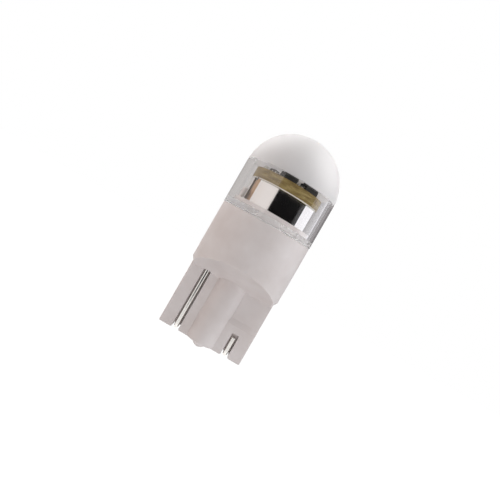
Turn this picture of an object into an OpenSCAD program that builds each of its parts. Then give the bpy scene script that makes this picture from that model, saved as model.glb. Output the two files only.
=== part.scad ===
// Wedge base LED bulb: a moulded wedge base with folded contact wires, a lens cap that is
// clear round its collar and frosted over its dome, and a lighting unit inside the cap.
// The axis is +Z. The origin lies on it, level with the lower face of the blade.
// The front is -Y. Azimuths are counted from the front, and grow towards +X.
// Inside and out, the bulb looks the same after half a turn about its axis.

/* [Wedge blade] */
// Width of the blade
blade_width = 9.5; // [9:0.1:10]
// Thickness of the blade
blade_thickness = 2.1; // [1.9:0.05:2.4]
// Height of the blade, from its lower face to the shoulders
blade_height = 6.76; // [6:0.02:8]
// Radius of the blade's upright edges
blade_edge_radius = 0.12; // [0.05:0.01:0.3]
// Radius of the blade's lower corners
blade_corner_radius = 0.16; // [0.05:0.01:0.4]
// Depth of the catch recess in the blade's face
recess_depth = 0.22; // [0.1:0.01:0.35]
// Height at which the ramp of the catch recess starts
recess_start = 3.3; // [2.8:0.05:4.5]
// Height of the ramp of the catch recess
recess_ramp = 0.6; // [0.2:0.05:1.2]
// Land between the round boss down the middle of the blade and a wire's groove
boss_gap = 0.675; // [0.4:0.005:1]
// Chamfer round the lower edge of the boss
boss_chamfer = 0.1; // [0.02:0.01:0.3]
// Radius of the moulded nub under the boss
nub_radius = 0.85; // [0.6:0.01:1.2]
// Drop of the nub below the blade
nub_drop = 0.7; // [0.3:0.01:0.8]

/* [Contact wires] */
// Diameter of a contact wire
wire_diameter = 0.48; // [0.4:0.01:0.55]
// Distance from the blade's edge to the middle of a wire
wire_inset = 1.85; // [1.6:0.05:2]
// How far a wire stands proud of the blade's faces
wire_proud = 0.04; // [0:0.01:0.1]
// How far a wire's fold hangs below the blade
wire_drop = 0.04; // [0:0.01:0.1]
// Radius of the folds, at the middle of the wire
wire_fold_radius = 0.42; // [0.35:0.01:0.5]
// Height of the free end of a wire
wire_end_height = 2.16; // [1.5:0.02:2.8]
// Room past the free end of a wire
wire_end_room = 0.41; // [0.2:0.01:0.6]
// Room at each side of a wire in its groove
wire_side_room = 0.155; // [0.08:0.005:0.25]
// Clearance between a wire and what holds it
wire_clearance = 0.03; // [0.02:0.005:0.05]
// How far a wire's groove runs into the shoulder
groove_run_in = 0.11; // [0.05:0.01:0.3]
// Flare at each side of a groove's mouth
mouth_flare = 0.1; // [0.03:0.01:0.15]
// How far a wire stands up through its terminal
wire_tail = 0.3; // [0.1:0.05:0.6]

/* [Body of the base] */
// How far the round body stands out past the blade, at each side
body_margin = 0.34; // [0.3:0.01:0.6]
// Slope of the shoulders
shoulder_angle = 26.8; // [20:0.2:32]
// Height of the blade's sides above the shoulders' lower edge
side_rise = 0.17; // [0.05:0.01:0.4]
// Height of the taper from the blade's sides to the round body
side_taper = 0.51; // [0.2:0.01:0.8]
// Height of the seat of the lens cap
seat_height = 13.9; // [13:0.05:15]
// Chamfer along the joint of body and lens cap
joint_chamfer = 0.06; // [0.02:0.01:0.12]
// Height of the spigot inside the lens cap
spigot_height = 1.12; // [0.8:0.02:1.6]
// Clearance between spigot and lens cap
spigot_clearance = 0.05; // [0.03:0.01:0.1]
// Height of the pocket's floor
pocket_floor = 9.2; // [9.1:0.05:9.6]
// Height of the pedestal under the heat sink
pedestal_height = 1.4; // [1:0.05:2]
// Room between the pedestal and the terminal strips' eyes
pedestal_gap = 0.35; // [0.2:0.05:1]
// Azimuth of the guide rib beside the lighting unit
rib_azimuth = -69; // [-72:1:-66]
// Angle that a guide rib spans
rib_span = 20; // [10:1:30]
// Thickness of a guide rib
rib_thickness = 0.25; // [0.15:0.01:0.35]
// Height of a guide rib above the spigot
rib_height = 1.08; // [0.5:0.02:1.4]

/* [Lens cap] */
// How far the lens cap stands out past the body
cap_overhang = 0.03; // [0:0.01:0.1]
// Wall of the lens cap
cap_wall = 0.72; // [0.6:0.02:0.8]
// Height of the clear collar, from the seat to the dome
collar_height = 5; // [4.8:0.05:6]
// Width of the lead-in chamfer inside the collar
lead_in_width = 0.5; // [0.2:0.02:0.6]
// Height of the lead-in chamfer inside the collar
lead_in_height = 0.69; // [0.3:0.01:0.9]

/* [Heat sink and circuit board] */
// Gap between the heat sink and the lens cap
sink_gap = 0.6; // [0.55:0.01:0.7]
// Clearance between the heat sink and its pocket
sink_clearance = 0.05; // [0.03:0.01:0.1]
// Chamfer round the ends of the heat sink
sink_chamfer = 0.06; // [0.02:0.01:0.2]
// Height of the circuit board's underside above the seat
board_lift = 3.67; // [3.2:0.02:3.9]
// Thickness of the thermal pad
pad_thickness = 0.1; // [0.08:0.01:0.2]
// How far the circuit board stands out past the heat sink
board_overhang = 0.02; // [0:0.01:0.1]
// Thickness of the circuit board
board_thickness = 1.05; // [0.8:0.05:1.2]

/* [Terminal strips] */
// Azimuth of the slot for a terminal strip
slot_azimuth = -51; // [-58:1:-51]
// Width of the slot in the heat sink
slot_width = 1.1; // [1.05:0.01:1.3]
// Depth of the slot in the heat sink
slot_depth = 0.65; // [0.6:0.01:0.9]
// Chamfer along the slot's edges
slot_chamfer = 0.08; // [0.02:0.01:0.15]
// Width of a terminal strip
strip_width = 0.9; // [0.6:0.01:1]
// Thickness of a terminal strip
strip_thickness = 0.2; // [0.12:0.01:0.22]
// Distance of a strip's outer face inside the heat sink's side
strip_inset = 0.22; // [0.18:0.01:0.3]
// Gap between a strip's shoulders and the thermal pad
strip_gap = 0.2; // [0.1:0.01:0.4]
// Width of the pin at the top of a strip
pin_width = 0.42; // [0.3:0.01:0.46]
// Height of the pin above the circuit board
pin_height = 0.25; // [0.1:0.01:0.4]
// Radius of the pin's hole in the circuit board
pin_hole_radius = 0.27; // [0.26:0.01:0.3]
// Radius of a strip's eye round its wire
eye_radius = 0.55; // [0.45:0.01:0.6]
// Radius of a solder joint at the board
solder_radius = 0.36; // [0.32:0.01:0.38]
// Height of a solder joint
solder_height = 0.3; // [0.15:0.01:0.4]

/* [Parts on the circuit board] */
// Gap between the LED package's corners and the chips
led_gap = 0.19; // [0.1:0.01:0.4]
// Height of the LED package
led_height = 0.65; // [0.5:0.01:0.9]
// Rim of the LED package round the phosphor window
window_rim = 0.3; // [0.2:0.05:0.5]
// Depth of the phosphor window
window_depth = 0.4; // [0.2:0.01:0.45]
// Clearance round the phosphor
window_clearance = 0.02; // [0.01:0.005:0.04]
// Half of the gap between the leads of two chips side by side
chip_gap = 0.035; // [0.03:0.005:0.1]
// Width of a chip's body
chip_width = 0.95; // [0.7:0.01:1.05]
// Height of a chip's body
chip_height = 0.95; // [0.8:0.01:1.1]
// Slope of a chip's ends, as a length
chip_draft = 0.1; // [0.03:0.01:0.15]
// Length of the step at one end of a chip
chip_step_length = 0.28; // [0.15:0.01:0.4]
// Height of the step at one end of a chip
chip_step_height = 0.56; // [0.35:0.01:0.7]
// Distance from the circuit board's rim to the middle of a chip
chip_setback = 1.03; // [0.95:0.01:1.1]
// Azimuth of the left chip at the front
chip_left_azimuth = -7; // [-9:1:-5]
// Azimuth of the right chip at the front
chip_right_azimuth = 42; // [41:1:46]
// Length of a chip's lead
lead_length = 0.2; // [0.15:0.01:0.22]
// Width of a chip's lead
lead_width = 0.6; // [0.4:0.01:0.65]
// Height of a chip's lead at the body
lead_height = 0.3; // [0.15:0.01:0.32]
// Thickness of a chip's lead
lead_thickness = 0.12; // [0.08:0.01:0.14]
// Length of a chip resistor with its ends
resistor_length = 0.56; // [0.45:0.01:0.6]
// Width of a chip resistor
resistor_width = 0.34; // [0.25:0.01:0.4]
// Height of a chip resistor
resistor_height = 0.26; // [0.2:0.01:0.35]
// Azimuth of the resistor at the front
resistor_azimuth = -38; // [-39:1:-37]
// Distance from the circuit board's rim to the middle of a resistor
resistor_setback = 0.82; // [0.75:0.01:0.9]
// Share of a resistor's length that is metal, at each end
end_share = 0.22; // [0.15:0.01:0.3]

/* [Hidden] */
$fn = 96;

// Overshoot of a cut past the face that it opens
cut = 0.5;
half_turn = 180;

// Radii, from the outside in
body_radius = blade_width / 2 + body_margin;
cap_radius = body_radius + cap_overhang;
cap_bore_radius = cap_radius - cap_wall;
spigot_radius = cap_bore_radius - spigot_clearance;
sink_radius = cap_bore_radius - sink_gap;
pocket_radius = sink_radius + sink_clearance;
board_radius = sink_radius + board_overhang;
strip_radius = sink_radius - strip_inset - strip_thickness / 2;
chip_ring_radius = board_radius - chip_setback;
resistor_ring_radius = board_radius - resistor_setback;

// Levels, from the blade up
spigot_top = seat_height + spigot_height;
pedestal_top = pocket_floor + pedestal_height;
board_underside = seat_height + board_lift;
board_top = board_underside + board_thickness;
sink_top = board_underside - pad_thickness;
dome_centre = seat_height + collar_height;

// Contact wires
wire_radius = wire_diameter / 2;
wire_x = blade_width / 2 - wire_inset;
wire_y = blade_thickness / 2 + wire_proud - wire_radius;
wire_run_z = wire_radius - wire_drop;
wire_fold_z = wire_run_z + wire_fold_radius;
wire_run_half = wire_y - wire_fold_radius;
wire_top = pocket_floor + strip_thickness + wire_tail;
groove_width = wire_diameter + 2 * wire_side_room;
boss_radius = wire_x - groove_width / 2 - boss_gap;
groove_top = blade_height + groove_run_in;
short_groove_top = wire_end_height + wire_end_room;
web_half = wire_y - wire_radius - wire_clearance;
web_bottom = wire_run_z + wire_radius + wire_clearance;
web_corner = wire_fold_radius - wire_radius - wire_clearance;

// Terminal strips
strip_shoulder = sink_top - strip_gap;
link_width = 2 * wire_radius;
pedestal_radius = wire_x - eye_radius - pedestal_gap;
eye_place = [-wire_x, -wire_y];
leg_place = [strip_radius * sin(slot_azimuth), -strip_radius * cos(slot_azimuth)];
link_run = leg_place - eye_place;

// Parts on the circuit board
chip_spread = chip_right_azimuth - chip_left_azimuth;
lead_reach = (chip_ring_radius - lead_width / 2) * tan(chip_spread / 2) - chip_gap;
chip_length = 2 * (lead_reach - lead_length);
led_corner = chip_ring_radius - chip_width / 2 - led_gap;
led_side = led_corner * sqrt(2);
window_radius = led_side / 2 - window_rim;
end_length = resistor_length * end_share;

// Places a child at a radius and an azimuth, its own -Y pointing outwards
module on_ring(radius, azimuth) {
    rotate([0, 0, azimuth])
        translate([0, -radius, 0])
            children();
}

// The same shape twice, half a turn apart
module both_sides() {
    for (turn = [0, half_turn]) {
        rotate([0, 0, turn])
            children();
    }
}

// Rectangle round the origin with round corners
module rounded_plate(width, depth, radius) {
    square([width - 2 * radius, depth], center = true);
    square([width, depth - 2 * radius], center = true);
    for (side_x = [-1, 1]) {
        for (side_y = [-1, 1]) {
            translate([side_x * (width / 2 - radius), side_y * (depth / 2 - radius)])
                circle(radius);
        }
    }
}

// Upright rectangle standing on the origin, its two lower corners round
module round_footed_plate(width, height, radius) {
    translate([-width / 2, radius])
        square([width, height - radius]);
    translate([-width / 2 + radius, 0])
        square([width - 2 * radius, 2 * radius]);
    for (side = [-1, 1]) {
        translate([side * (width / 2 - radius), radius])
            circle(radius);
    }
}

// Extrudes a shape drawn as (x, z) along Y, through the middle plane
module through_y(depth) {
    rotate([90, 0, 0])
        linear_extrude(depth, center = true)
            children();
}

// Extrudes a shape drawn as (y, z) along X, through the middle plane
module through_x(width) {
    rotate([90, 0, 90])
        linear_extrude(width, center = true)
            children();
}

// Base housing

// Flat blade with a catch recess at the right of each face
module blade() {
    root = blade_height + side_rise + side_taper;
    difference() {
        intersection() {
            linear_extrude(root)
                rounded_plate(blade_width, blade_thickness, blade_edge_radius);
            through_y(2 * blade_thickness)
                round_footed_plate(blade_width, root, blade_corner_radius);
        }
        both_sides() catch_recess();
    }
}

// Recess that the holder's spring drops into, with a ramp at its foot
module catch_recess() {
    face = -blade_thickness / 2;
    translate([blade_width / 4 + cut / 2, 0, 0])
        through_x(blade_width / 2 + cut)
            polygon([
                [face - cut, recess_start],
                [face, recess_start],
                [face + recess_depth, recess_start + recess_ramp],
                [face + recess_depth, blade_height],
                [face - cut, blade_height]
            ]);
}

// Round boss down the middle of the blade, with the nub under it
module boss() {
    root = blade_height + side_rise + side_taper;
    translate([0, 0, boss_chamfer])
        cylinder(r = boss_radius, h = root - boss_chamfer);
    cylinder(r1 = boss_radius - boss_chamfer, r2 = boss_radius, h = boss_chamfer);
    translate([0, 0, nub_radius - nub_drop])
        sphere(nub_radius);
}

// Round body, its spigot and the pocket's mouth, before the shoulders are cut
module body_blank() {
    side_top = blade_height + side_rise;
    rotate_extrude()
        polygon([
            [0, blade_height],
            [blade_width / 2, blade_height],
            [blade_width / 2, side_top],
            [body_radius, side_top + side_taper],
            [body_radius, seat_height - joint_chamfer],
            [body_radius - joint_chamfer, seat_height],
            [spigot_radius, seat_height],
            [spigot_radius, spigot_top - joint_chamfer],
            [spigot_radius - joint_chamfer, spigot_top],
            [0, spigot_top]
        ]);
}

// Space between the two sloping shoulders
module between_shoulders() {
    half = blade_thickness / 2;
    reach = body_radius + cut;
    shoulder_top = blade_height + (reach - half) * tan(shoulder_angle);
    through_x(2 * reach)
        polygon([
            [-half, blade_height],
            [-reach, shoulder_top],
            [-reach, spigot_top + cut],
            [reach, spigot_top + cut],
            [reach, shoulder_top],
            [half, blade_height]
        ]);
}

// Rib that stands up from the spigot beside the lighting unit
module guide_rib() {
    rotate([0, 0, rib_azimuth - 90 - rib_span / 2])
        rotate_extrude(angle = rib_span)
            translate([pocket_radius, spigot_top - joint_chamfer])
                square([rib_thickness, rib_height + joint_chamfer]);
}

// Grooves and notch of one wire: long at the front, short at the back
module wire_channel() {
    reach = blade_thickness;
    web_width = 2 * web_half;
    translate([-wire_x, 0, 0])
        through_x(groove_width)
            difference() {
                union() {
                    translate([-reach, -cut])
                        square([reach, groove_top + cut]);
                    translate([0, -cut])
                        square([reach, short_groove_top + cut]);
                }
                translate([0, web_bottom])
                    round_footed_plate(web_width, body_radius + blade_height, web_corner);
            }
    translate([-wire_x, 0, 0])
        through_y(2 * blade_thickness)
            polygon([
                [-groove_width / 2 - mouth_flare, -cut],
                [-groove_width / 2 - mouth_flare, 0],
                [-groove_width / 2, mouth_flare],
                [groove_width / 2, mouth_flare],
                [groove_width / 2 + mouth_flare, 0],
                [groove_width / 2 + mouth_flare, -cut]
            ]);
    translate([-wire_x, -wire_y, blade_height])
        cylinder(r = wire_radius + wire_clearance, h = pocket_floor + cut - blade_height);
}

// Pocket for the heat sink, round the pedestal that carries it
module pocket() {
    difference() {
        translate([0, 0, pocket_floor])
            cylinder(r = pocket_radius, h = spigot_top + rib_height + cut - pocket_floor);
        cylinder(r = pedestal_radius, h = pedestal_top);
    }
}

module base_housing() {
    color("gainsboro")
        difference() {
            union() {
                blade();
                boss();
                intersection() {
                    body_blank();
                    between_shoulders();
                }
                both_sides() guide_rib();
            }
            both_sides() wire_channel();
            pocket();
        }
}

// Contact wires

// Quarter fold from the run under the blade up into the front leg
module wire_fold() {
    translate([0, -wire_run_half, wire_fold_z])
        rotate([90, 0, -90])
            rotate_extrude(angle = -90)
                translate([wire_fold_radius, 0])
                    circle(wire_radius);
}

// One wire, folded round the blade: long leg at the front, short leg at the back
module contact_wire() {
    color("silver")
        translate([-wire_x, 0, 0]) {
            wire_fold();
            mirror([0, 1, 0])
                wire_fold();
            translate([0, wire_run_half, wire_run_z])
                rotate([90, 0, 0])
                    cylinder(r = wire_radius, h = 2 * wire_run_half);
            translate([0, -wire_y, wire_fold_z])
                cylinder(r = wire_radius, h = wire_top - wire_fold_z);
            translate([0, wire_y, wire_fold_z])
                cylinder(r = wire_radius, h = wire_end_height - wire_fold_z);
        }
}

// Terminal strips

// Eye on the pocket's floor, and the link from it to the upright leg
module strip_foot() {
    translate([0, 0, pocket_floor])
        linear_extrude(strip_thickness)
            difference() {
                union() {
                    translate(eye_place)
                        circle(eye_radius);
                    translate(eye_place)
                        rotate(atan2(link_run.y, link_run.x))
                            translate([0, -link_width / 2])
                                square([norm(link_run), link_width]);
                }
                translate(eye_place)
                    circle(wire_radius + wire_clearance);
            }
}

// Flat strip that carries the current from a wire up to the circuit board
module terminal_strip() {
    color("tan") {
        strip_foot();
        on_ring(strip_radius, slot_azimuth) {
            translate([-strip_width / 2, -strip_thickness / 2, pocket_floor])
                cube([strip_width, strip_thickness, strip_shoulder - pocket_floor]);
            translate([-pin_width / 2, -strip_thickness / 2, pocket_floor])
                cube([pin_width, strip_thickness, board_top + pin_height - pocket_floor]);
        }
    }
}

// Solder round the pin on top of the circuit board
module solder_joint() {
    color("silver")
        on_ring(strip_radius, slot_azimuth)
            difference() {
                translate([0, 0, board_top])
                    cylinder(r1 = solder_radius, r2 = pin_width / 2, h = solder_height);
                translate([-pin_width / 2, -strip_thickness / 2, board_top - cut])
                    cube([pin_width, strip_thickness, pin_height + cut]);
            }
}

// Heat sink, thermal pad and circuit board

// Slot down the heat sink's side, its edges chamfered
module sink_slot() {
    half = slot_width / 2;
    rotate([0, 0, slot_azimuth])
        translate([0, 0, pedestal_top - cut])
            linear_extrude(sink_top + 2 * cut - pedestal_top)
                polygon([
                    [-half, slot_depth - sink_radius],
                    [-half, slot_chamfer - sink_radius],
                    [-half - slot_chamfer - cut, -sink_radius - cut],
                    [half + slot_chamfer + cut, -sink_radius - cut],
                    [half, slot_chamfer - sink_radius],
                    [half, slot_depth - sink_radius]
                ]);
}

module heat_sink() {
    color("lightgray")
        difference() {
            rotate_extrude()
                polygon([
                    [0, pedestal_top],
                    [sink_radius - sink_chamfer, pedestal_top],
                    [sink_radius, pedestal_top + sink_chamfer],
                    [sink_radius, sink_top - sink_chamfer],
                    [sink_radius - sink_chamfer, sink_top],
                    [0, sink_top]
                ]);
            both_sides() sink_slot();
        }
}

// Round hole for the pin of a terminal strip
module pin_hole(radius) {
    on_ring(strip_radius, slot_azimuth)
        translate([0, 0, sink_top - cut])
            cylinder(r = radius, h = board_top - sink_top + 2 * cut);
}

module thermal_pad() {
    color("white")
        difference() {
            translate([0, 0, sink_top])
                cylinder(r = sink_radius - sink_chamfer, h = pad_thickness);
            both_sides() pin_hole(pin_hole_radius);
        }
}

module circuit_board() {
    color("olivedrab")
        difference() {
            translate([0, 0, board_underside])
                cylinder(r = board_radius, h = board_thickness);
            both_sides() pin_hole(pin_hole_radius);
        }
}

// LED package

module led_package() {
    color("white")
        translate([0, 0, board_top])
            difference() {
                linear_extrude(led_height)
                    square(led_side, center = true);
                translate([0, 0, led_height - window_depth])
                    cylinder(r = window_radius, h = window_depth + cut);
            }
}

module led_phosphor() {
    color("gold")
        translate([0, 0, board_top + led_height - window_depth])
            cylinder(r = window_radius - window_clearance, h = window_depth);
}

// Chips

// Black moulded body with sloping ends and a step at its left end
module chip_body(azimuth) {
    half = chip_length / 2;
    step = -half + chip_step_length;
    color("black")
        on_ring(chip_ring_radius, azimuth)
            translate([0, 0, board_top])
                through_y(chip_width)
                    polygon([
                        [-half, 0],
                        [-half + chip_draft / 2, chip_step_height],
                        [step, chip_step_height],
                        [step + chip_draft / 2, chip_height],
                        [half - chip_draft, chip_height],
                        [half, lead_height],
                        [half, 0]
                    ]);
}

// Bent lead at each end of a chip
module chip_leads(azimuth) {
    half = chip_length / 2;
    slope = chip_draft / 2 * lead_height / chip_step_height;
    color("silver")
        on_ring(chip_ring_radius, azimuth)
            translate([0, 0, board_top]) {
                through_y(lead_width)
                    polygon([
                        [-half, 0],
                        [-half - lead_length, 0],
                        [-half - lead_length, lead_thickness],
                        [-half - lead_thickness, lead_height],
                        [-half + slope, lead_height]
                    ]);
                through_y(lead_width)
                    polygon([
                        [half, 0],
                        [half + lead_length, 0],
                        [half + lead_length, lead_thickness],
                        [half + lead_thickness, lead_height],
                        [half, lead_height]
                    ]);
            }
}

// Resistors

module resistor_body(azimuth) {
    color("dimgray")
        on_ring(resistor_ring_radius, azimuth)
            translate([0, 0, board_top])
                through_y(resistor_width)
                    translate([end_length - resistor_length / 2, 0])
                        square([resistor_length - 2 * end_length, resistor_height]);
}

module resistor_ends(azimuth) {
    color("silver")
        on_ring(resistor_ring_radius, azimuth)
            translate([0, 0, board_top])
                through_y(resistor_width)
                    for (end_x = [-resistor_length / 2, resistor_length / 2 - end_length]) {
                        translate([end_x, 0])
                            square([end_length, resistor_height]);
                    }
}

// Lens cap

// Half outline of a straight collar under a half-round dome
module cap_outline(radius) {
    translate([0, seat_height])
        square([radius, collar_height]);
    translate([0, dome_centre])
        intersection() {
            circle(radius);
            square(radius);
        }
}

module lens_cap() {
    color("white", 0.4)
        rotate_extrude()
            difference() {
                cap_outline(cap_radius);
                cap_outline(cap_bore_radius);
                polygon([
                    [cap_bore_radius - cut, seat_height - cut],
                    [cap_bore_radius + lead_in_width, seat_height - cut],
                    [cap_bore_radius + lead_in_width, seat_height],
                    [cap_bore_radius, seat_height + lead_in_height],
                    [cap_bore_radius - cut, seat_height + lead_in_height]
                ]);
                polygon([
                    [cap_radius - joint_chamfer, seat_height],
                    [cap_radius + cut, seat_height - cut],
                    [cap_radius + cut, seat_height + joint_chamfer],
                    [cap_radius, seat_height + joint_chamfer]
                ]);
            }
}

base_housing();
lens_cap();
heat_sink();
thermal_pad();
circuit_board();
contact_wire();  // contact_wire_left
rotate([0, 0, half_turn]) contact_wire();  // contact_wire_right
terminal_strip();  // terminal_strip_left
rotate([0, 0, half_turn]) terminal_strip();  // terminal_strip_right
solder_joint();  // solder_joint_left
rotate([0, 0, half_turn]) solder_joint();  // solder_joint_right
led_package();
led_phosphor();
chip_body(chip_left_azimuth);  // chip_front_left
chip_body(chip_right_azimuth);  // chip_front_right
chip_body(chip_right_azimuth + half_turn);  // chip_rear_left
chip_body(chip_left_azimuth + half_turn);  // chip_rear_right
chip_leads(chip_left_azimuth);  // leads_front_left
chip_leads(chip_right_azimuth);  // leads_front_right
chip_leads(chip_right_azimuth + half_turn);  // leads_rear_left
chip_leads(chip_left_azimuth + half_turn);  // leads_rear_right
resistor_body(resistor_azimuth);  // resistor_front
resistor_body(resistor_azimuth + half_turn);  // resistor_rear
resistor_ends(resistor_azimuth);  // resistor_ends_front
resistor_ends(resistor_azimuth + half_turn);  // resistor_ends_rear
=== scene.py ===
"""Finishes and studio for a wedge base LED bulb, laid out as an add-on and run as a script.

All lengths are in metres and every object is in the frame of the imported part: +Z runs up the bulb's
axis from the blade to the dome, and the front of the bulb is -Y.
"""

import math

import bmesh
import bpy
from bpy.props import FloatProperty, FloatVectorProperty, PointerProperty, StringProperty
from mathutils import Matrix, Vector


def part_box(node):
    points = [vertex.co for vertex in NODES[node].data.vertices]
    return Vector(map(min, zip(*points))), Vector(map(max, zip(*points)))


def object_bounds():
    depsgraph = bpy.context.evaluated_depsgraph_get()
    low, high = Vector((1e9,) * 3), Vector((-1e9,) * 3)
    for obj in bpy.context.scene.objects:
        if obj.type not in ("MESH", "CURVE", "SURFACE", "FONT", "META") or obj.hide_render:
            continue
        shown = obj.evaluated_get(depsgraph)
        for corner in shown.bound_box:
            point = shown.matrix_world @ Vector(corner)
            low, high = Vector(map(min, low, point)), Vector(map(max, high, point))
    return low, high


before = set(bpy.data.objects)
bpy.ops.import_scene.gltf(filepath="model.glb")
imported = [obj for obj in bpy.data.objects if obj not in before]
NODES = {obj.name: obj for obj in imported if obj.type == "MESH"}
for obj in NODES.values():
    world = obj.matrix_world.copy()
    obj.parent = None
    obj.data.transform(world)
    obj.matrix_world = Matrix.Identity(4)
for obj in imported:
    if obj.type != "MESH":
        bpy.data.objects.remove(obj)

bl_info = {
    "name": "Wedge Base LED Bulb",
    "version": (1, 0, 0),
    "blender": (4, 5, 0),
    "location": "View3D > Sidebar > LED Bulb",
    "description": "Gives the pieces of a wedge base LED bulb their finishes and sets up the studio",
    "category": "Object",
}

CAD_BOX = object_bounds()
MM = 0.001

# The dome is half a ball, so its middle lies one radius of the lens cap under its top. The frost
# starts a little above that level.
CAP_LOW, CAP_HIGH = (Vector(corner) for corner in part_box("lens_cap"))
CAP_RADIUS = (CAP_HIGH.x - CAP_LOW.x) / 2
FROST_RISE = 0.12 * MM
FROST_LEVEL = CAP_HIGH.z - CAP_RADIUS + FROST_RISE


# Colours and node trees


def linear(code):
    """Turns an sRGB hex colour such as "C8C3BF" into linear values with an alpha of one."""
    values = []
    for place in (0, 2, 4):
        value = int(code[place:place + 2], 16) / 255
        values.append(value / 12.92 if value <= 0.04045 else ((value + 0.055) / 1.055) ** 2.4)
    return (*values, 1.0)


def add_node(tree, kind, settings=None, links=None):
    """Adds a node. Settings name its inputs or attributes; links name inputs and their sources."""
    node = tree.nodes.new(kind)
    for name, value in (settings or {}).items():
        if hasattr(node, name) and not name[0].isupper():
            setattr(node, name, value)
        else:
            node.inputs[name].default_value = value
    for name, source in (links or {}).items():
        tree.links.new(source, node.inputs[name])
    return node


def new_material(name):
    """An empty node material with its output node."""
    material = bpy.data.materials.new(name)
    material.use_nodes = True
    tree = material.node_tree
    tree.nodes.clear()
    output = tree.nodes.new("ShaderNodeOutputMaterial")
    return material, tree, output


def part_coordinates(tree, size, stretch=(1, 1, 1)):
    """Coordinates in which one unit is the given real size, stretched along the axes."""
    place = add_node(tree, "ShaderNodeTexCoord")
    scale = tuple(1 / (size * factor) for factor in stretch)
    return add_node(tree, "ShaderNodeMapping", {"Scale": scale}, {"Vector": place.outputs["Object"]})


def colour_steps(tree, source, steps):
    """A colour ramp over hex colours, given as (position, hex) pairs."""
    ramp = add_node(tree, "ShaderNodeValToRGB", links={"Fac": source})
    elements = ramp.color_ramp.elements
    while len(elements) < len(steps):
        elements.new(0.5)
    for element, (position, code) in zip(elements, steps):
        element.position = position
        element.color = linear(code)
    return ramp.outputs["Color"]


def value_range(tree, source, low, high, start=0.0, end=1.0):
    """Maps a value from start..end onto low..high."""
    return add_node(
        tree, "ShaderNodeMapRange",
        {"From Min": start, "From Max": end, "To Min": low, "To Max": high},
        {"Value": source},
    ).outputs["Result"]


def grain(tree, size, stretch=(1, 1, 1), detail=2.0, roughness=0.5):
    """Noise whose blobs are as large as the given real size."""
    place = part_coordinates(tree, size, stretch)
    return add_node(
        tree, "ShaderNodeTexNoise",
        {"Scale": 1.0, "Detail": detail, "Roughness": roughness},
        {"Vector": place.outputs["Vector"]},
    ).outputs["Fac"]


def bump(tree, height, depth, strength=1.0):
    """Surface relief of the given real depth."""
    return add_node(
        tree, "ShaderNodeBump", {"Distance": depth, "Strength": strength}, {"Height": height}
    ).outputs["Normal"]


def dress(node_names, material):
    """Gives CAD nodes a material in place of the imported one."""
    for name in node_names:
        for slot in NODES[name].material_slots:
            slot.material = material


# Settings


class BulbPlastics(bpy.types.PropertyGroup):
    """Colours and finish of the moulded base and the lens cap"""

    housing_dark: StringProperty(
        name="Housing, thick",
        description="Colour of the moulded base where the pigment lies thickest",
        default="D2C9C6",
    )
    housing_light: StringProperty(
        name="Housing, thin",
        description="Colour of the moulded base where it is palest",
        default="DCD5D3",
    )
    housing_roughness: FloatProperty(
        name="Housing roughness",
        description="Roughness of the spark-eroded mould face",
        default=0.42, min=0.0, max=1.0, subtype="FACTOR",
    )
    frost_colour: StringProperty(
        name="Frosted dome",
        description="Colour of the frosted dome",
        default="D6D4D4",
    )
    frost_roughness: FloatProperty(
        name="Frost roughness",
        description="Roughness of the frosted dome",
        default=0.5, min=0.0, max=1.0, subtype="FACTOR",
    )
    frost_clearness: FloatProperty(
        name="Frost clearness",
        description="Share of light that the frosted dome lets straight through",
        default=0.35, min=0.0, max=1.0, subtype="FACTOR",
    )
    seat_roughness: FloatProperty(
        name="Seat roughness",
        description="Roughness of the cap's seat and of the lead-in above it, inside the collar",
        default=0.35, min=0.0, max=1.0, subtype="FACTOR",
    )
    frost_edge: FloatProperty(
        name="Frost edge",
        description="Height over which the frost fades in at the top of the collar",
        default=0.06 * MM, min=0.0, unit="LENGTH",
    )


class BulbMetals(bpy.types.PropertyGroup):
    """Colours and finish of the metal pieces"""

    sink_colour: StringProperty(
        name="Heat sink", description="Colour of the polished heat sink", default="F3F1F0"
    )
    sink_roughness: FloatProperty(
        name="Heat sink roughness",
        description="Roughness of the polished heat sink",
        default=0.05, min=0.0, max=1.0, subtype="FACTOR",
    )
    strip_colour: StringProperty(
        name="Terminal strip", description="Colour of the copper alloy strips", default="DDB896"
    )
    wire_colour: StringProperty(
        name="Contact wire", description="Colour of the plated contact wires", default="F1EEEA"
    )
    tin_colour: StringProperty(
        name="Tin", description="Colour of tinned leads and solder", default="E6E3DC"
    )


class BulbBoard(bpy.types.PropertyGroup):
    """Colours of the circuit board and what is soldered to it"""

    laminate_dark: StringProperty(
        name="Laminate, resin", description="Colour of the laminate's resin", default="644E26"
    )
    laminate_light: StringProperty(
        name="Laminate, glass", description="Colour of the laminate's glass threads", default="A4925E"
    )
    laminate_pitch: FloatProperty(
        name="Laminate layers",
        description="Distance between two layers of glass cloth in the board",
        default=0.18 * MM, min=0.01 * MM, unit="LENGTH",
    )
    mask_colour: StringProperty(
        name="Solder mask", description="Colour of the board's upper face", default="EDEDE8"
    )
    chip_colour: StringProperty(
        name="Chip epoxy", description="Colour of the moulded chips", default="141211"
    )


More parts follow.
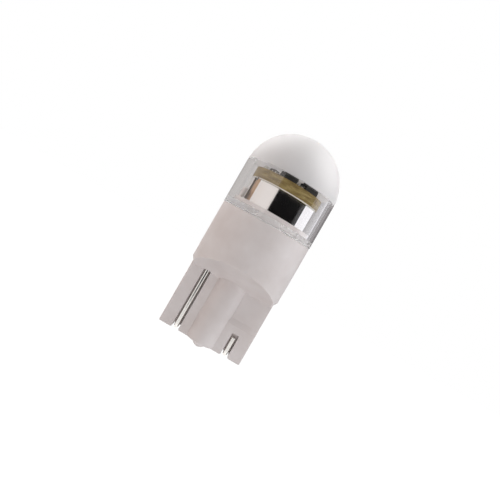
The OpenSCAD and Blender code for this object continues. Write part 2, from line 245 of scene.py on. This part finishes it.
class BulbStudio(bpy.types.PropertyGroup):
    """Camera, floor, cards and lamps"""

    camera_distance: FloatProperty(
        name="Camera distance",
        description="Distance of the camera from the bulb's axis",
        default=49.6 * MM, min=0.01, unit="LENGTH",
    )
    camera_height: FloatProperty(
        name="Camera height",
        description="Height of the camera above the lower face of the blade",
        default=12.13 * MM, unit="LENGTH",
    )
    camera_roll: FloatProperty(
        name="Camera roll",
        description="Angle by which the bulb leans to the right in the picture",
        default=math.radians(30), subtype="ANGLE",
    )
    lens: FloatProperty(
        name="Lens", description="Focal length in millimetres", default=34.1, min=10
    )
    shift: FloatVectorProperty(
        name="Shift", description="Shift of the lens", size=2, default=(-0.0158, -0.0202)
    )
    floor_drop: FloatProperty(
        name="Floor",
        description="Distance of the floor below the bulb, which is held by its base",
        default=75 * MM, min=0.0, unit="LENGTH",
    )
    world_level: FloatProperty(
        name="Soft light",
        description="Strength of the soft light that comes from all sides",
        default=0.44, min=0.0,
    )


# Materials: plastics


def moulded_polyester(plastics):
    """White PBT with a little titanium pigment, moulded in a spark-eroded tool.

    To the eye: a warm, faintly translucent white with a fine satin grain and no mirror gloss.
    """
    material, tree, output = new_material("moulded_white_polyester")
    cloud = grain(tree, 2.5 * MM, detail=3.0)
    colour = colour_steps(
        tree, cloud, [(0.3, plastics.housing_dark), (0.7, plastics.housing_light)]
    )
    # A spark-eroded face has pits of 0.01 mm; they are drawn five times as coarse, so that they show.
    pits = grain(tree, 0.05 * MM, detail=3.0, roughness=0.6)
    # As it cools, a moulded wall sinks a little here and there, over about a millimetre.
    swell = grain(tree, 1.2 * MM)
    relief = bump(tree, pits, depth=0.002 * MM, strength=0.6)
    waves = add_node(
        tree, "ShaderNodeBump", {"Distance": 0.01 * MM, "Strength": 0.5},
        {"Height": swell, "Normal": relief},
    )
    rough = value_range(
        tree, pits, low=plastics.housing_roughness - 0.05, high=plastics.housing_roughness + 0.08
    )
    shader = add_node(
        tree, "ShaderNodeBsdfPrincipled",
        {
            "IOR": 1.55,
            "Subsurface Weight": 0.2,
            "Subsurface Radius": (0.8 * MM, 0.78 * MM, 0.75 * MM),
            "Subsurface Scale": 1.0,
        },
        {"Base Color": colour, "Roughness": rough, "Normal": waves.outputs["Normal"]},
    )
    tree.links.new(shader.outputs["BSDF"], output.inputs["Surface"])
    return material


def cap_polycarbonate(plastics):
    """Clear polycarbonate, moulded glossy at the collar and with an etched face over the dome.

    To the eye: a water-clear ring that bends what is behind it, under a soft white frosted cap. The
    seat and the lead-in cone above it are left as a turned tool gives them, so that the ring's lower
    end is a pale blurred band.
    """
    material, tree, output = new_material("moulded_polycarbonate_clear_and_frosted")
    place = add_node(tree, "ShaderNodeTexCoord")
    height = add_node(tree, "ShaderNodeSeparateXYZ", links={"Vector": place.outputs["Object"]})
    frost = add_node(
        tree, "ShaderNodeMapRange",
        {
            "interpolation_type": "SMOOTHSTEP",
            "From Min": FROST_LEVEL,
            "From Max": FROST_LEVEL + plastics.frost_edge,
        },
        {"Value": height.outputs["Z"]},
    ).outputs["Result"]
    # The etched face has a grain of 0.02 mm, drawn twice as coarse, so that it shows.
    etch = grain(tree, 0.04 * MM)
    colour = colour_steps(tree, frost, [(0.0, "FFFFFF"), (1.0, plastics.frost_colour)])
    etched = value_range(tree, frost, low=0.0, high=plastics.frost_roughness)
    # Below the dome, only the seat, the lead-in and the chamfer at the rim slope.
    shape = add_node(tree, "ShaderNodeNewGeometry")
    upright = add_node(tree, "ShaderNodeSeparateXYZ", links={"Vector": shape.outputs["True Normal"]})
    slope = add_node(
        tree, "ShaderNodeMath", {"operation": "ABSOLUTE"}, {0: upright.outputs["Z"]}
    )
    seat = value_range(
        tree, slope.outputs["Value"], low=0.0, high=plastics.seat_roughness, start=0.3, end=0.4
    )
    rough = add_node(
        tree, "ShaderNodeMath", {"operation": "MAXIMUM"}, {0: etched, 1: seat}
    ).outputs["Value"]
    clear = value_range(tree, frost, low=1.0, high=plastics.frost_clearness)
    relief = add_node(
        tree, "ShaderNodeMath", {"operation": "MULTIPLY"}, {0: frost, 1: etch}
    ).outputs["Value"]
    shader = add_node(
        tree, "ShaderNodeBsdfPrincipled",
        {
            "IOR": 1.585,
            "Subsurface Radius": (1.2 * MM, 1.2 * MM, 1.2 * MM),
            "Subsurface Scale": 1.0,
        },
        {
            "Base Color": colour,
            "Roughness": rough,
            "Transmission Weight": clear,
            "Subsurface Weight": frost,
            "Normal": bump(tree, relief, depth=0.002 * MM, strength=0.5),
        },
    )
    tree.links.new(shader.outputs["BSDF"], output.inputs["Surface"])
    return material


# Materials: metals


def polished_aluminium(metals):
    """Aluminium, turned and then polished bright.

    To the eye: a mirror that shows the studio, with the faintest rings left by the turning tool.
    """
    material, tree, output = new_material("polished_turned_aluminium")
    # Turning leaves rings of 0.02 mm; they are drawn at 0.06 mm.
    rings = grain(tree, 0.06 * MM, stretch=(60, 60, 1), detail=1.0)
    rough = value_range(
        tree, rings, low=metals.sink_roughness - 0.02, high=metals.sink_roughness + 0.04
    )
    shader = add_node(
        tree, "ShaderNodeBsdfPrincipled",
        {"Base Color": linear(metals.sink_colour), "Metallic": 1.0},
        {"Roughness": rough, "Normal": bump(tree, rings, depth=0.0002 * MM, strength=0.3)},
    )
    tree.links.new(shader.outputs["BSDF"], output.inputs["Surface"])
    return material


def metal_with_grain(name, dark, light, roughness, size, stretch, depth):
    """A metal whose colour and roughness follow a grain of the given real size and direction."""
    material, tree, output = new_material(name)
    lines = grain(tree, size, stretch)
    colour = colour_steps(tree, lines, [(0.3, dark), (0.7, light)])
    rough = value_range(tree, lines, low=roughness - 0.08, high=roughness + 0.08)
    relief = bump(tree, lines, depth, strength=0.6)
    shader = add_node(
        tree, "ShaderNodeBsdfPrincipled",
        {"Metallic": 1.0},
        {"Base Color": colour, "Roughness": rough, "Normal": relief},
    )
    tree.links.new(shader.outputs["BSDF"], output.inputs["Surface"])
    return material


def drawn_nickel_wire(metals):
    """Nickel plate on drawn wire: bright, with fine lines along the wire."""
    # The die leaves lines of 0.01 mm; they are drawn three times as coarse, so that they show.
    return metal_with_grain(
        "nickel_plated_drawn_wire", "DDD9D4", metals.wire_colour,
        roughness=0.16, size=0.03 * MM, stretch=(1, 1, 40), depth=0.001 * MM,
    )


def rolled_copper_strip(metals):
    """Copper alloy strip, rolled and thinly tinned: a warm tan satin with lines along the strip."""
    # Rolling leaves lines of 0.01 mm; they are drawn five times as coarse, so that they show.
    return metal_with_grain(
        "rolled_tinned_copper_strip", "B08A68", metals.strip_colour,
        roughness=0.34, size=0.05 * MM, stretch=(1, 1, 30), depth=0.001 * MM,
    )


def reflowed_tin(metals):
    """Tin, melted on and frozen: bright and slightly lumpy."""
    return metal_with_grain(
        "reflowed_tin", "BDB9B0", metals.tin_colour,
        roughness=0.26, size=0.12 * MM, stretch=(1, 1, 1), depth=0.008 * MM,
    )


# Materials: board and components


def glass_epoxy_board(board):
    """Glass cloth in epoxy, routed round, with white solder mask on its upper face.

    To the eye: an olive-brown cut edge with pale lines where the cloth lies, and a pale top.
    """
    material, tree, output = new_material("glass_epoxy_laminate")
    shape = add_node(tree, "ShaderNodeNewGeometry")
    upright = add_node(tree, "ShaderNodeSeparateXYZ", links={"Vector": shape.outputs["Normal"]})
    top = value_range(tree, upright.outputs["Z"], low=0.0, high=1.0, start=0.8, end=0.9)
    layers = grain(tree, board.laminate_pitch, stretch=(6, 6, 1), detail=3.0, roughness=0.6)
    # Glass threads of 0.01 mm stand out of the routed edge; they are drawn at 0.06 mm.
    fibre = grain(tree, 0.06 * MM, stretch=(1, 1, 0.6))
    blend = add_node(
        tree, "ShaderNodeMix", {"data_type": "FLOAT", "Factor": 0.35}, {"A": layers, "B": fibre}
    )
    edge = colour_steps(
        tree, blend.outputs["Result"],
        [(0.36, board.laminate_dark), (0.5, "7E6A3A"), (0.66, board.laminate_light)],
    )
    colour = add_node(tree, "ShaderNodeMix", {"data_type": "RGBA"}, {"Factor": top})
    tree.links.new(edge, colour.inputs["A"])
    colour.inputs["B"].default_value = linear(board.mask_colour)
    # The routed edge is dull, and the mask shines a little.
    rough = value_range(tree, top, low=0.62, high=0.3)
    shader = add_node(
        tree, "ShaderNodeBsdfPrincipled", {"IOR": 1.55},
        {
            "Base Color": colour.outputs["Result"],
            "Roughness": rough,
            "Normal": bump(tree, fibre, depth=0.004 * MM, strength=0.5),
        },
    )
    tree.links.new(shader.outputs["BSDF"], output.inputs["Surface"])
    return material


def speckled(name, dark, light, roughness, size, depth, ior=1.5):
    """A filled plastic, rubber or ceramic whose filler shows as specks of the given size.

    The real filler is a powder of 0.01 to 0.03 mm, too fine to show, so its specks are drawn larger.
    """
    material, tree, output = new_material(name)
    specks = grain(tree, size, detail=3.0, roughness=0.6)
    colour = colour_steps(tree, specks, [(0.35, dark), (0.65, light)])
    rough = value_range(tree, specks, low=roughness - 0.06, high=roughness + 0.06)
    relief = bump(tree, specks, depth, strength=0.6)
    shader = add_node(
        tree, "ShaderNodeBsdfPrincipled", {"IOR": ior},
        {"Base Color": colour, "Roughness": rough, "Normal": relief},
    )
    tree.links.new(shader.outputs["BSDF"], output.inputs["Surface"])
    return material


def chip_epoxy(board):
    """Epoxy filled with silica and carbon black, moulded round a chip: matt black, finely grained."""
    return speckled(
        "moulded_black_epoxy", "0C0A0A", board.chip_colour,
        roughness=0.55, size=0.05 * MM, depth=0.003 * MM, ior=1.55,
    )


def cast_phosphor():
    """Silicone with phosphor powder, cast into the LED package: a dull egg yellow."""
    return speckled(
        "cast_phosphor_silicone", "D9B544", "E8CC63",
        roughness=0.4, size=0.04 * MM, depth=0.001 * MM, ior=1.41,
    )


def moulded_led_package():
    """White reflector moulding of the LED: chalky and even."""
    return speckled(
        "moulded_white_reflector", "E6E5E0", "F2F1EE",
        roughness=0.5, size=0.06 * MM, depth=0.001 * MM,
    )


def silicone_pad():
    """Silicone filled with alumina powder, cut from sheet: soft, matt and off-white."""
    return speckled(
        "filled_silicone_sheet", "DAD8D2", "EDEBE6",
        roughness=0.7, size=0.08 * MM, depth=0.002 * MM, ior=1.41,
    )


def glazed_resistor():
    """Fired alumina of a resistor under its dark glaze: dense, slightly shiny and speckled."""
    return speckled(
        "glazed_resistor_ceramic", "2B2420", "463C35",
        roughness=0.38, size=0.05 * MM, depth=0.002 * MM, ior=1.6,
    )


# Operators: one for each piece or group of like pieces


class BulbOperator:
    """What all of the bulb's operators share"""

    bl_options = {"REGISTER", "UNDO"}

    @classmethod
    def poll(cls, context):
        return context.scene is not None


class FinishHousing(BulbOperator, bpy.types.Operator):
    """Finish the moulded base in satin white plastic"""

    bl_idname = "led_bulb.finish_housing"
    bl_label = "Base Housing"

    def execute(self, context):
        dress(["base_housing"], moulded_polyester(context.scene.bulb_plastics))
        return {"FINISHED"}


class FinishLensCap(BulbOperator, bpy.types.Operator):
    """Finish the lens cap: clear round the collar, frosted over the dome"""

    bl_idname = "led_bulb.finish_lens_cap"
    bl_label = "Lens Cap"

    def execute(self, context):
        dress(["lens_cap"], cap_polycarbonate(context.scene.bulb_plastics))
        # Clear plastic lets the lamps through, which its refraction alone would not.
        NODES["lens_cap"].visible_shadow = False
        return {"FINISHED"}


class FinishHeatSink(BulbOperator, bpy.types.Operator):
    """Finish the heat sink in polished aluminium, and the pad on it in filled silicone"""

    bl_idname = "led_bulb.finish_heat_sink"
    bl_label = "Heat Sink and Pad"

    def execute(self, context):
        dress(["heat_sink"], polished_aluminium(context.scene.bulb_metals))
        dress(["thermal_pad"], silicone_pad())
        return {"FINISHED"}


class FinishContacts(BulbOperator, bpy.types.Operator):
    """Finish the contact wires, the terminal strips and the solder"""

    bl_idname = "led_bulb.finish_contacts"
    bl_label = "Wires, Strips and Solder"

    def execute(self, context):
        metals = context.scene.bulb_metals
        dress(["contact_wire_left", "contact_wire_right"], drawn_nickel_wire(metals))
        dress(["terminal_strip_left", "terminal_strip_right"], rolled_copper_strip(metals))
        tinned = [name for name in NODES if name.startswith(("leads_", "solder_"))]
        tinned += [name for name in NODES if "_ends_" in name]
        dress(tinned, reflowed_tin(metals))
        return {"FINISHED"}


class FinishBoard(BulbOperator, bpy.types.Operator):
    """Finish the circuit board"""

    bl_idname = "led_bulb.finish_board"
    bl_label = "Circuit Board"

    def execute(self, context):
        dress(["circuit_board"], glass_epoxy_board(context.scene.bulb_board))
        return {"FINISHED"}


class FinishComponents(BulbOperator, bpy.types.Operator):
    """Finish the LED, the chips and the resistors"""

    bl_idname = "led_bulb.finish_components"
    bl_label = "LED and Components"

    def execute(self, context):
        board = context.scene.bulb_board
        dress([name for name in NODES if name.startswith("chip_")], chip_epoxy(board))
        dress(["led_package"], moulded_led_package())
        dress(["led_phosphor"], cast_phosphor())
        dress(["resistor_front", "resistor_rear"], glazed_resistor())
        return {"FINISHED"}


# Studio

# Azimuths are in degrees, counted from the front towards +X.

WHITE = "FFFFFF"
SENSOR_WIDTH = 36.0   # millimetres
CAMERA_RANGE = (0.001, 10.0)

# The floor is a square of paper. Its glow comes on top of the light that falls on it, so that it
# shows white and the shadow stays.
FLOOR_HALF = 1.2
FLOOR_GLOW = 0.8

# Cards stand in a ring round the bulb, out of the camera's sight. The polished metal mirrors them
# and they show through the clear collar. The low flag is there for the contact wires.
CARD_RADIUS = 0.12
CARD_STEPS = 48
# Name, first and last azimuth, bottom, top, colour, strength
CARDS = (
    ("card_white_left", -98, -20, 0.0, 0.05, "E8E2DF", 1.0),
    ("flag_black", -20, 76, 0.0, 0.05, "100F10", 1.0),
    ("card_white_right", 76, 124, 0.0, 0.05, "FAFAFF", 1.2),
    ("card_grey_right", 124, 180, 0.0, 0.038, "9C9899", 1.0),
    ("card_grey_left", 180, 262, 0.0, 0.038, "C0BCBA", 1.0),
    ("flag_black_low", -42, 34, -0.019, 0.0, "100F10", 1.0),
)

# Three large softboxes light the bulb, and three small ones hang close over its dome. Two of these
# show in glossy faces and give the dome its sheen.
BLADE_LEVEL = CAD_BOX[0][2]
BODY_LEVEL = (CAD_BOX[0][2] + CAD_BOX[1][2]) / 2
DOME_LEVEL = CAP_HIGH.z - CAP_RADIUS
# Name, power in watts, side, azimuth, elevation, distance, level it points at, colour, and whether
# it shows in glossy faces
LAMPS = (
    ("softbox_front", 0.043, 0.05, 26, -28, 0.1, BLADE_LEVEL, "FBFAFC", False),
    ("softbox_right", 0.048, 0.1, 78, 0, 0.2, BODY_LEVEL, "E2F0FF", False),
    ("softbox_left", 0.078, 0.1, -84, 0, 0.2, BODY_LEVEL, "FFE2D4", False),
    ("softbox_dome_right", 0.0045, 0.025, 73, 48, 0.025, DOME_LEVEL, "FFFFFF", True),
    ("softbox_dome_left", 0.0062, 0.035, -98, 41, 0.03, DOME_LEVEL, "FFFFFF", True),
    ("softbox_dome_top", 0.003, 0.025, 180, 80, 0.03, DOME_LEVEL, "FFFFFF", False),
)


def stage_object(name, mesh, material):
    """Adds a mesh that belongs to the studio and not to the bulb."""
    piece = bpy.data.objects.new(name, mesh)
    bpy.context.scene.collection.objects.link(piece)
    mesh.materials.append(material)
    return piece


def strength_when_seen(tree, otherwise, seen):
    """One strength for camera, glossy and transmission rays, and another for all other rays."""
    rays = add_node(tree, "ShaderNodeLightPath")
    in_view = rays.outputs["Is Camera Ray"]
    for kind in ("Is Glossy Ray", "Is Transmission Ray"):
        in_view = add_node(
            tree, "ShaderNodeMath", {"operation": "ADD", "use_clamp": True},
            {0: in_view, 1: rays.outputs[kind]},
        ).outputs["Value"]
    return value_range(tree, in_view, low=otherwise, high=seen)


def white_paper():
    """White paper: a matt sheet that shows white to the camera and keeps the bulb's shadow."""
    material, tree, output = new_material("white_paper")
    strength = strength_when_seen(tree, otherwise=0.0, seen=FLOOR_GLOW)
    glow = add_node(
        tree, "ShaderNodeEmission", {"Color": linear(WHITE)}, {"Strength": strength}
    )
    # Held against the light, paper is cloudy over a few millimetres.
    clouds = grain(tree, 4 * MM)
    colour = colour_steps(tree, clouds, [(0.3, "CCCCCC"), (0.7, "D0D0D0")])
    paper = add_node(tree, "ShaderNodeBsdfDiffuse", links={"Color": colour})
    both = add_node(tree, "ShaderNodeAddShader")
    tree.links.new(paper.outputs["BSDF"], both.inputs[0])
    tree.links.new(glow.outputs["Emission"], both.inputs[1])
    tree.links.new(both.outputs["Shader"], output.inputs["Surface"])
    return material


def lit_card(name, code, strength):
    """A card of the studio, which shows its colour evenly. A flag is a card that is nearly black."""
    material, tree, output = new_material(name)
    glow = add_node(tree, "ShaderNodeEmission", {"Color": linear(code), "Strength": strength})
    tree.links.new(glow.outputs["Emission"], output.inputs["Surface"])
    return material


def curved_card(name, radius, start, end, low, high):
    """A sheet bent round the bulb's axis, from one azimuth to another in radians."""
    sheet = bmesh.new()
    rows = []
    for step in range(CARD_STEPS + 1):
        azimuth = start + (end - start) * step / CARD_STEPS
        x, y = radius * math.sin(azimuth), -radius * math.cos(azimuth)
        rows.append([sheet.verts.new((x, y, z)) for z in (low, high)])
    for left, right in zip(rows, rows[1:]):
        sheet.faces.new((left[0], right[0], right[1], left[1]))
    mesh = bpy.data.meshes.new(name)
    sheet.to_mesh(mesh)
    sheet.free()
    return mesh


def flat_sheet(name, half, level):
    """A flat square of paper at the given level."""
    mesh = bpy.data.meshes.new(name)
    corners = [(x * half, y * half, level) for x, y in ((-1, -1), (1, -1), (1, 1), (-1, 1))]
    mesh.from_pydata(corners, [], [(0, 1, 2, 3)])
    return mesh


def add_softbox(name, power, size, azimuth, elevation, distance, level, code, mirrored):
    """A square area lamp that points at the bulb's axis, at a level, from the given direction."""
    data = bpy.data.lights.new(name, "AREA")
    data.shape = "SQUARE"
    data.size = size
    data.energy = power
    data.color = linear(code)[:3]
    lamp = bpy.data.objects.new(name, data)
    bpy.context.scene.collection.objects.link(lamp)
    side, rise = math.radians(azimuth), math.radians(elevation)
    away = Vector((
        math.sin(side) * math.cos(rise), -math.cos(side) * math.cos(rise), math.sin(rise)
    ))
    lamp.location = Vector((0.0, 0.0, level)) + away * distance
    lamp.rotation_mode = "QUATERNION"
    lamp.rotation_quaternion = (-away).to_track_quat("-Z", "Y")
    lamp.visible_camera = False
    lamp.visible_glossy = mirrored
    lamp.visible_transmission = False
    return lamp


def studio_world(level):
    """World: white to the camera and through the lens cap, and a plain soft level as a light."""
    world = bpy.data.worlds.new("studio")
    bpy.context.scene.world = world
    world.use_nodes = True
    tree = world.node_tree
    tree.nodes.clear()
    strength = strength_when_seen(tree, otherwise=level, seen=1.0)
    sky = add_node(
        tree, "ShaderNodeBackground", {"Color": linear(WHITE)}, {"Strength": strength}
    )
    output = add_node(tree, "ShaderNodeOutputWorld")
    tree.links.new(sky.outputs["Background"], output.inputs["Surface"])


class SetStudio(BulbOperator, bpy.types.Operator):
    """Set the floor, the cards, the lamps and the camera"""

    bl_idname = "led_bulb.set_studio"
    bl_label = "Studio"

    def execute(self, context):
        studio = context.scene.bulb_studio
        studio_world(studio.world_level)
        floor = flat_sheet("floor", FLOOR_HALF, BLADE_LEVEL - studio.floor_drop)
        stage_object("floor", floor, white_paper())
        for name, start, end, bottom, top, code, strength in CARDS:
            mesh = curved_card(
                name, CARD_RADIUS, math.radians(start), math.radians(end), bottom, top
            )
            card = stage_object(name, mesh, lit_card(name, code, strength))
            card.visible_camera = False
            card.visible_shadow = False
            card.visible_diffuse = False
        for lamp in LAMPS:
            add_softbox(*lamp)
        self.place_camera(context, studio)
        context.scene.view_settings.view_transform = "Standard"
        return {"FINISHED"}

    def place_camera(self, context, studio):
        """Puts the camera in front of the bulb, rolled as in the photograph, and makes it current."""
        data = bpy.data.cameras.new("camera")
        data.lens = studio.lens
        data.sensor_width = SENSOR_WIDTH
        data.shift_x, data.shift_y = studio.shift
        data.clip_start, data.clip_end = CAMERA_RANGE
        camera = bpy.data.objects.new("camera", data)
        context.scene.collection.objects.link(camera)
        roll = studio.camera_roll
        right = Vector((math.cos(roll), 0.0, math.sin(roll)))
        up = Vector((-math.sin(roll), 0.0, math.cos(roll)))
        back = Vector((0.0, -1.0, 0.0))
        turn = Matrix((right, up, back)).transposed()
        camera.matrix_world = (
            Matrix.Translation((0.0, -studio.camera_distance, studio.camera_height))
            @ turn.to_4x4()
        )
        context.scene.camera = camera


class LedBulbPanel(bpy.types.Panel):
    """Lists the bulb's pieces and the studio in the sidebar"""

    bl_idname = "VIEW3D_PT_led_bulb"
    bl_label = "LED Bulb"
    bl_space_type = "VIEW_3D"
    bl_region_type = "UI"
    bl_category = "LED Bulb"

    def draw(self, context):
        scene = context.scene
        for title, group in (
            ("Plastics", scene.bulb_plastics),
            ("Metals", scene.bulb_metals),
            ("Board", scene.bulb_board),
            ("Studio", scene.bulb_studio),
        ):
            box = self.layout.box()
            box.label(text=title)
            for name in group.bl_rna.properties.keys():
                if name not in ("rna_type", "name"):
                    box.prop(group, name)
        for operator in OPERATORS:
            self.layout.operator(operator.bl_idname)


SETTINGS = {
    "bulb_plastics": BulbPlastics,
    "bulb_metals": BulbMetals,
    "bulb_board": BulbBoard,
    "bulb_studio": BulbStudio,
}
OPERATORS = (
    FinishHousing,
    FinishLensCap,
    FinishHeatSink,
    FinishContacts,
    FinishBoard,
    FinishComponents,
    SetStudio,
)
CLASSES = (*SETTINGS.values(), *OPERATORS, LedBulbPanel)


def register():
    """Registers the classes and gives each scene its groups of settings."""
    for cls in CLASSES:
        bpy.utils.register_class(cls)
    for name, group in SETTINGS.items():
        setattr(bpy.types.Scene, name, PointerProperty(type=group))


def unregister():
    """Takes out what register put in, in the opposite order."""
    for name in SETTINGS:
        delattr(bpy.types.Scene, name)
    for cls in reversed(CLASSES):
        bpy.utils.unregister_class(cls)


def main():
    """Registers the add-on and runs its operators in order."""
    register()
    for operator in OPERATORS:
        group, name = operator.bl_idname.split(".")
        getattr(getattr(bpy.ops, group), name)()


if __name__ == "__main__":
    main()
